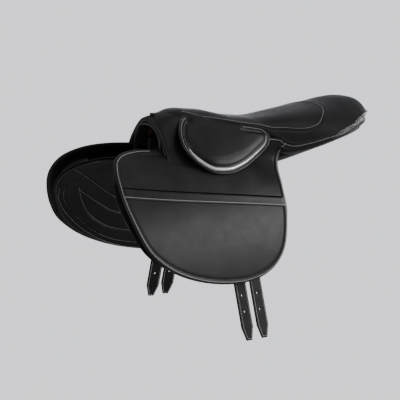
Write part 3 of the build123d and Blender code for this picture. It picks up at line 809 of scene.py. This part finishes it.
def make_pommel():
    """The pommel's hide, its welts and the padded face that looks forward, from half arches."""
    stations = [
        (-100, [(82, 30), (67, 62), (54, 87), (30, 97), (0, 100)]),
        (-126, [(84, 28), (66, 62), (50, 91), (30, 104), (0, 108)]),
        (-150, [(86, 26), (64, 64), (46, 93), (32, 107.5), (0, 113)]),
        (-172, [(86, 26), (60, 66), (45, 92), (27, 108.5), (0, 113.6)]),
        (-190, [(86, 25), (60, 66), (45.5, 87), (25, 104.5), (0, 110.8)]),
        (-202, [(86, 24), (62, 62), (46.5, 81), (25, 100), (0, 108.3)]),
        (-207, [(86, 24), (62.5, 60.5), (47, 79), (25, 97.5), (0, 106.3)]),
        (-209.5, [(84, 24), (61, 60), (45.5, 77.5), (24, 95.6), (0, 104)]),
    ]
    rows = [arch_line(points, 60, x) for x, points in stations]
    for x, points in stations[::-1]:
        inner = [(max(p - 4, 0), q - 4) for p, q in points]
        rows.append(arch_line(inner, 60, x))
    faces = sheet_faces(len(rows), len(rows[0]), ends=True)
    obj = mesh_piece("pommel_hide", np.vstack(rows), faces, SEAT_HIDE)
    fix_normals(obj)
    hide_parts("pommel_cover")
    placed(obj, "root")
    welt = arch_line([(82, 24), (59.5, 60.5), (44.5, 78), (23.5, 96), (0, 104.5)], 70, -209.5)
    rim = arch_line([(72, 24), (54.5, 59.5), (42, 75.5), (22.5, 92.5), (0, 99.5)], 70, -210.5)
    throat = arch_line([(50, 26), (44.5, 61), (37, 77), (21, 88.5), (0, 92)], 70, -210.5)
    for name, line, radius, material in (
        ("pommel_welt", welt, 2.6, EDGE_HIDE),
        ("pommel_rim", rim, 2.0, EDGE_HIDE),
        ("pommel_throat_rim", throat, 2.4, EDGE_HIDE),
    ):
        bead = tube(name, line, radius, material, sides=12)
        placed(bead, "root")
    shares = np.linspace(0, 1, 9)
    high = arch_line([(79, 24), (57, 60.5), (43.5, 77), (23, 94.5), (0, 102.5)], 70, -207.5)
    low = arch_line([(49, 26), (43.5, 61), (36, 76), (20.5, 87.5), (0, 91)], 70, -207.5)
    rows = [low + (high - low) * s + [-2.2 * np.sin(np.pi * s), 0, 0] for s in shares]
    rows += [low + (high - low) * s + [3.5, 0, 0] for s in shares[::-1]]
    faces = sheet_faces(len(rows), len(rows[0]), ends=True)
    face = mesh_piece("pommel_face", np.vstack(rows), faces, SEAT_HIDE)
    fix_normals(face)
    placed(face, "root")


# ---------------------------------------------------------------- under layers
UNDER_EDGE = [
    (-232, 53), (-264, 55), (-292, 52), (-315, 43), (-330, 26), (-337, 3), (-337, -18), (-330, -44),
    (-320, -71), (-305, -98), (-286, -118), (-262, -135), (-235, -148), (-199, -161), (-161, -171),
    (-130, -176), (-100, -178), (-75, -176), (-50, -171), (-24, -160), (-2, -145), (14, -126),
    (26, -99), (33, -70), (35, -45), (35, -20), (34, 4),
]  # fmt: skip
UNDER_TOP = [(14, 22), (-60, 33), (-130, 41), (-190, 48), (-214, 52)]
UNDER_CENTRE = (-150, -55)
UNDER_STEPS = [0, 0.8, 2, 3.5, 6, 9, 13, 18]
PANEL_HEIGHT = [0.0, 2.4, 3.6, 4.2, 4.8, 5.4, 6.0, 6.4]

# Lines quilted into the panel, as (x, distance down the flank).
OUTER_ROW = [
    (-328, 44), (-325, 74), (-312, 105), (-289, 136), (-266, 159), (-236, 180), (-199, 197), (-156, 206),
    (-105, 209), (-60, 205), (-22, 191), (2, 166), (14, 136),
]  # fmt: skip
INNER_ROW = [
    (-319, 46), (-314, 80), (-298, 109), (-276, 135), (-254, 157), (-225, 176), (-200, 186), (-160, 195),
    (-105, 199), (-62, 196), (-28, 182), (-8, 160), (4, 132),
]  # fmt: skip
UPPER_CURVE = [
    (-317, -24), (-311, -19), (-303, -10), (-282, 16), (-255, 45), (-226, 73), (-195, 94), (-150, 108),
]  # fmt: skip
LEAF_HIGH = [(-290, 50), (-283, 60), (-268, 75), (-242, 97), (-218, 115), (-190, 127), (-150, 136)]
LEAF_LOW = [
    (-290, 50), (-282, 76), (-272, 100), (-257, 124), (-236, 143), (-214, 156), (-179, 166), (-150, 170),
]  # fmt: skip


def panel_face(x, z):
    """Inner face of the panel's lower part, which looks at the horse."""
    return flank(x, flank_s(z), PANEL_DEPTH + 2)


def inner_lift(face, ring, lift):
    return on_face(face, ring, -np.asarray(lift, float))


def quilt_lines():
    lines = []
    for points in (OUTER_ROW, INNER_ROW, UPPER_CURVE, LEAF_HIGH, LEAF_LOW):
        run = smooth_curve(points, 110)
        lines.append(np.column_stack([run[:, 0], np.interp(run[:, 1], S_RUN, Z_RUN)]))
    return lines


QUILT = quilt_lines()


def quilt_height(x, z, deep):
    """Relief of the panel's face: a domed stuffing, pinched in along the quilted lines."""
    height = np.interp(deep, UNDER_STEPS, PANEL_HEIGHT)
    gap = np.full(np.shape(x), 1e9)
    for line in QUILT:
        gap = np.minimum(gap, distance_to(line[::2], x, z))
    return height - 2.4 * np.exp(-((gap / 2.2) ** 2)) + 0.8 * np.exp(-(((gap - 6) / 4) ** 2))


def on_flank(ring, depth):
    """Points of a side-view ring at a depth inside the flank."""
    return flank(ring[:, 0], flank_s(ring[:, 1]), depth)


def make_panel(side):
    outline = smooth_curve(UNDER_EDGE + UNDER_TOP, 300, True)
    # Sweat flap: a thin plain sheet.
    rings, depth = rings_inside(outline, [0, 0.7, 2], UNDER_CENTRE, 10)
    outer, inner = [], []
    for ring, deep in zip(rings, depth):
        rounding = np.interp(deep, [0, 1.4], [0, 1])
        outer.append(on_flank(ring, SWEAT_DEPTHS[0] + 1 - rounding))
        inner.append(on_flank(ring, SWEAT_DEPTHS[1] - 1 + rounding))
    place = (UNDER_CENTRE[0], flank_s(UNDER_CENTRE[1]))
    middle = [flank(*place, deep) for deep in SWEAT_DEPTHS]
    sheet = slab(f"{side}_sweat_sheet", outer, inner[1:], 300, *middle, FLAP, side)
    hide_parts(f"{side}_sweat_flap")
    placed(sheet, "root")
    # Panel: padded leather with its quilting, and the rear cushion that carries the seat.
    panel_line = outline + inward_smooth(outline) * 4
    rings, depth = rings_inside(panel_line, UNDER_STEPS, UNDER_CENTRE, 70)
    front = [on_flank(r, PANEL_DEPTH + 0.3 * (d < 1)) for r, d in zip(rings, depth)]
    back = []
    for ring, deep in list(zip(rings, depth))[1:]:
        back.append(inner_lift(panel_face, ring, quilt_height(ring[:, 0], ring[:, 1], deep) - 2))
    middle = [flank(*place, deep) for deep in (PANEL_DEPTH, PANEL_DEPTH + PANEL_HEIGHT[-1])]
    obj = slab(f"{side}_panel_leather", front, back, 300, *middle, PANEL_HIDE, side)
    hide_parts(f"{side}_panel")
    placed(obj, "root")
    seam = sided(inner_lift(panel_face, panel_line[4:262], 0.2), side)
    bead = tube(f"{side}_panel_piping", seam, 1.9, EDGE_HIDE)
    placed(bead, "root")
    lines, normals = [], []
    for line in QUILT:
        lines.append(sided(inner_lift(panel_face, line, 3.1), side))
        normals.append(sided(-surface_normals(panel_face, line[:, 0], line[:, 1]), side))
    sewn = stitches(f"{side}_panel_stitches", lines, normals, DARK_THREAD, thread=0.34)
    placed(sewn, "root")
    make_cushion(side)


# Stations along the cushion: x, then its inner top, outer half width, outer top, outer low and inner low.
CUSHION = [
    (-192, 62, 36, 58, 40, 22), (-186, 64, 37, 60, 40, 20), (-100, 66, 37, 62, 34, 14),
    (-40, 52, 37, 50, 26, 2), (20, 48, 52, 42, 16, -4), (60, 50, 78, 38, 24, 2),
    (126, 58, 98, 52, 42, 18), (180, 64, 88, 62, 52, 36), (225, 68, 62, 68, 57, 46),
    (246, 66, 40, 67, 60, 52), (252, 64, 34, 64, 60, 55),
]  # fmt: skip


def make_cushion(side):
    """Stuffed bearing cushion beside the channel, with rounded edges."""
    table = np.array(CUSHION, float)
    at = np.linspace(table[0, 0], table[-1, 0], 120)
    column = [np.interp(at, table[:, 0], table[:, i]) for i in range(6)]
    for i in range(1, 6):
        for _ in range(10):
            inner = (column[i][:-2] + 2 * column[i][1:-1] + column[i][2:]) / 4
            column[i] = np.concatenate([column[i][:1], inner, column[i][-1:]])
    _, top_in, out, top_out, low_out, low_in = column
    end = np.sqrt(np.clip(1 - np.clip((at - 238) / 14, 0, 1) ** 2, 0.02, 1))
    rows = []
    ring = 40
    turn = np.linspace(0, 2 * np.pi, ring, endpoint=False)
    for i, x in enumerate(at):
        cy, cz = (27 + out[i]) / 2, (top_in[i] + top_out[i] + low_out[i] + low_in[i]) / 4
        u = np.sign(np.cos(turn)) * abs(np.cos(turn)) ** 0.45
        v = np.sign(np.sin(turn)) * abs(np.sin(turn)) ** 0.45
        y = cy + u * (out[i] - 27) / 2
        k = (u + 1) / 2
        high = top_in[i] * (1 - k) + top_out[i] * k
        low = low_in[i] * (1 - k) + low_out[i] * k
        z = (high + low) / 2 + v * (high - low) / 2
        z = cz + (z - cz) * end[i]
        y = cy + (y - cy) * (0.4 + 0.6 * end[i])
        rows.append(np.stack([np.full(ring, x), y, z], axis=1))
    points = sided(np.vstack(rows), side)
    faces = ring_faces(len(rows), ring)
    faces += [tuple(range(ring))[::-1], tuple((len(rows) - 1) * ring + j for j in range(ring))]
    obj = mesh_piece(f"{side}_cushion_leather", points, faces, PANEL_HIDE)
    fix_normals(obj)
    placed(obj, "root")


KNEE_EDGE = [
    (-290, 40), (-308, 36), (-320, 24), (-327, 4), (-327, -20), (-321, -48), (-312, -76), (-300, -97),
    (-288, -108), (-292, -88), (-297, -66), (-302, -40), (-304, -16), (-300, 14),
]  # fmt: skip


def make_knee(side):
    """Knee block: a pad under the flap's front edge, domed towards its long middle line."""
    outline = smooth_curve(KNEE_EDGE, 160, True)
    rings, depth = rings_inside(outline, [0, 1, 2.5, 4.5, 7], (-312, -20), 5)
    line = np.column_stack([np.full(160, -312.0), np.clip(outline[:, 1], -90, 25)])
    last = rings[4]
    rings = rings[:5] + [last + (line - last) * k for k in (0.5, 0.85, 0.97)]
    depth = depth[:5] + [np.full(160, d) for d in (9.0, 11.0, 12.0)]
    lift = [np.interp(d, [0, 1, 2.5, 4.5, 7, 12], [0, 4, 7, 9, 10.5, 12]) for d in depth]
    front = [on_flank(ring, 18 - high) for ring, high in zip(rings, lift)]
    back = [on_flank(ring, 25.3) for ring in rings[1:]]
    middle = [flank(-312.0, flank_s(-20.0), deep) for deep in (6.0, 25.3)]
    obj = slab(f"{side}_knee_pad", front, back, 160, *middle, PAD_HIDE, side)
    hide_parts(f"{side}_knee_block")
    placed(obj, "root")


# ---------------------------------------------------------------- girth straps
STRAPS = {"front_billet": (-105.0, -143.8), "rear_billet": (-72.0, -143.4)}
STRAP_BEND_Z, STRAP_DROP, STRAP_TILT = -182.0, 102.0, radians(19)


def make_strap_stitches(side):
    """Two rows of stitches down each face edge of a strap, meeting above its point."""
    for name, (x, y) in STRAPS.items():
        up = np.array([0, sin(STRAP_TILT), cos(STRAP_TILT)])
        out = np.cross([1, FLARE, 0], up)
        out /= np.linalg.norm(out)
        across = np.cross(up, out)
        length = STRAP_DROP / cos(STRAP_TILT)
        point, shoulder = 3.2 - length, 23.4 - length
        shape = [(-9.9, -2), (-9.9, shoulder), (-4.2, point), (4.2, point), (9.9, shoulder), (9.9, -2)]
        corners = np.array([np.array([x, y, STRAP_BEND_Z]) + a * across + b * up for a, b in shape])
        line = even(corners, 160)
        lines, normals = [], []
        for sign in (1, -1):
            run = line + out * sign * 1.85
            normal = np.repeat((out * sign)[None], len(run), 0)
            if side == "far":
                run, normal = run * [1, -1, 1], normal * [1, -1, 1]
            lines.append(run)
            normals.append(normal)
        sewn = stitches(f"{side}_{name}_stitches", lines, normals, THREAD, thread=0.45)
        placed(sewn, f"{side}_{name}")


# ---------------------------------------------------------------- camera, floor and lights
AZIMUTH, ELEVATION, DISTANCE = radians(-31.505), radians(11.311), 2.46
BACK = Vector((sin(AZIMUTH) * cos(ELEVATION), -cos(AZIMUTH) * cos(ELEVATION), sin(ELEVATION)))
RIGHT = Vector((cos(AZIMUTH), sin(AZIMUTH), 0))
UP = BACK.cross(RIGHT)
KNOB = Vector((-0.2, 0, 0.11))


def make_camera():
    data = bpy.data.cameras.new("camera")
    data.sensor_width = 36
    data.lens = 122.86
    data.clip_end = 50
    camera = collection_link(bpy.data.objects.new("camera", data))
    place = KNOB + BACK * DISTANCE + RIGHT * 0.08613 - UP * 0.15586
    turn = Matrix((RIGHT, UP, BACK)).transposed().to_4x4()
    camera.matrix_world = Matrix.Translation(place) @ turn
    bpy.context.scene.camera = camera


def make_stage():
    material = bpy.data.materials.new("floor_paper")
    material.use_nodes = True
    shader = material.node_tree.nodes["Principled BSDF"]
    shader.inputs["Base Color"].default_value = (0.6, 0.605, 0.63, 1)
    shader.inputs["Roughness"].default_value = 0.9
    mesh = bpy.data.meshes.new("floor")
    rim = [(0.8 * cos(radians(a)), 0.8 * sin(radians(a)), -0.8) for a in range(0, 360, 5)]
    mesh.from_pydata(rim, [], [tuple(range(72))])
    mesh.materials.append(material)
    floor = collection_link(bpy.data.objects.new("floor", mesh))
    world = bpy.data.worlds.new("studio")
    world.use_nodes = True
    nodes, links = world.node_tree.nodes, world.node_tree.links
    nodes["Background"].inputs["Color"].default_value = (0.975, 0.985, 1.03, 1)
    # A lit backdrop behind the saddle, and a dimmer room in front of it.
    where = nodes.new("ShaderNodeTexCoord")
    toward = nodes.new("ShaderNodeVectorMath")
    toward.operation = "DOT_PRODUCT"
    toward.inputs[1].default_value = (0.51, 0.84, -0.19)
    links.new(where.outputs["Generated"], toward.inputs[0])
    level = nodes.new("ShaderNodeMapRange")
    level.interpolation_type = "SMOOTHSTEP"
    level.inputs["From Min"].default_value = 0.915
    level.inputs["From Max"].default_value = 0.972
    level.inputs["To Min"].default_value = 0.3
    level.inputs["To Max"].default_value = 1.3
    links.new(toward.outputs["Value"], level.inputs["Value"])
    links.new(level.outputs["Result"], nodes["Background"].inputs["Strength"])
    bpy.context.scene.world = world


def area_light(name, place, target, size, power, size_y=None):
    data = bpy.data.lights.new(name, "AREA")
    data.shape = "RECTANGLE"
    data.size = size
    data.size_y = size_y or size
    data.energy = power
    light = collection_link(bpy.data.objects.new(name, data))
    light.location = place
    aim = Vector(target) - Vector(place)
    light.rotation_euler = aim.to_track_quat("-Z", "Y").to_euler()


make_camera()
make_stage()
area_light("key", (1.9, -1.35, 0.25), (0.0, -0.12, -0.08), 0.9, 30)
area_light("front", (-1.3, -1.5, 0.9), (-0.15, -0.1, 0.03), 0.7, 7)
area_light("top", (0.5, -0.5, 1.7), (0.05, 0, 0.05), 0.9, 2)
area_light("cantle_side", (1.9, 0.2, 0.3), (0.2, 0, 0.05), 0.6, 10)

for side in ("near", "far"):
    make_flap(side)
    make_skirt(side)
    make_panel(side)
    make_knee(side)
    make_strap_stitches(side)
make_seat()
make_cantle()
make_pommel()
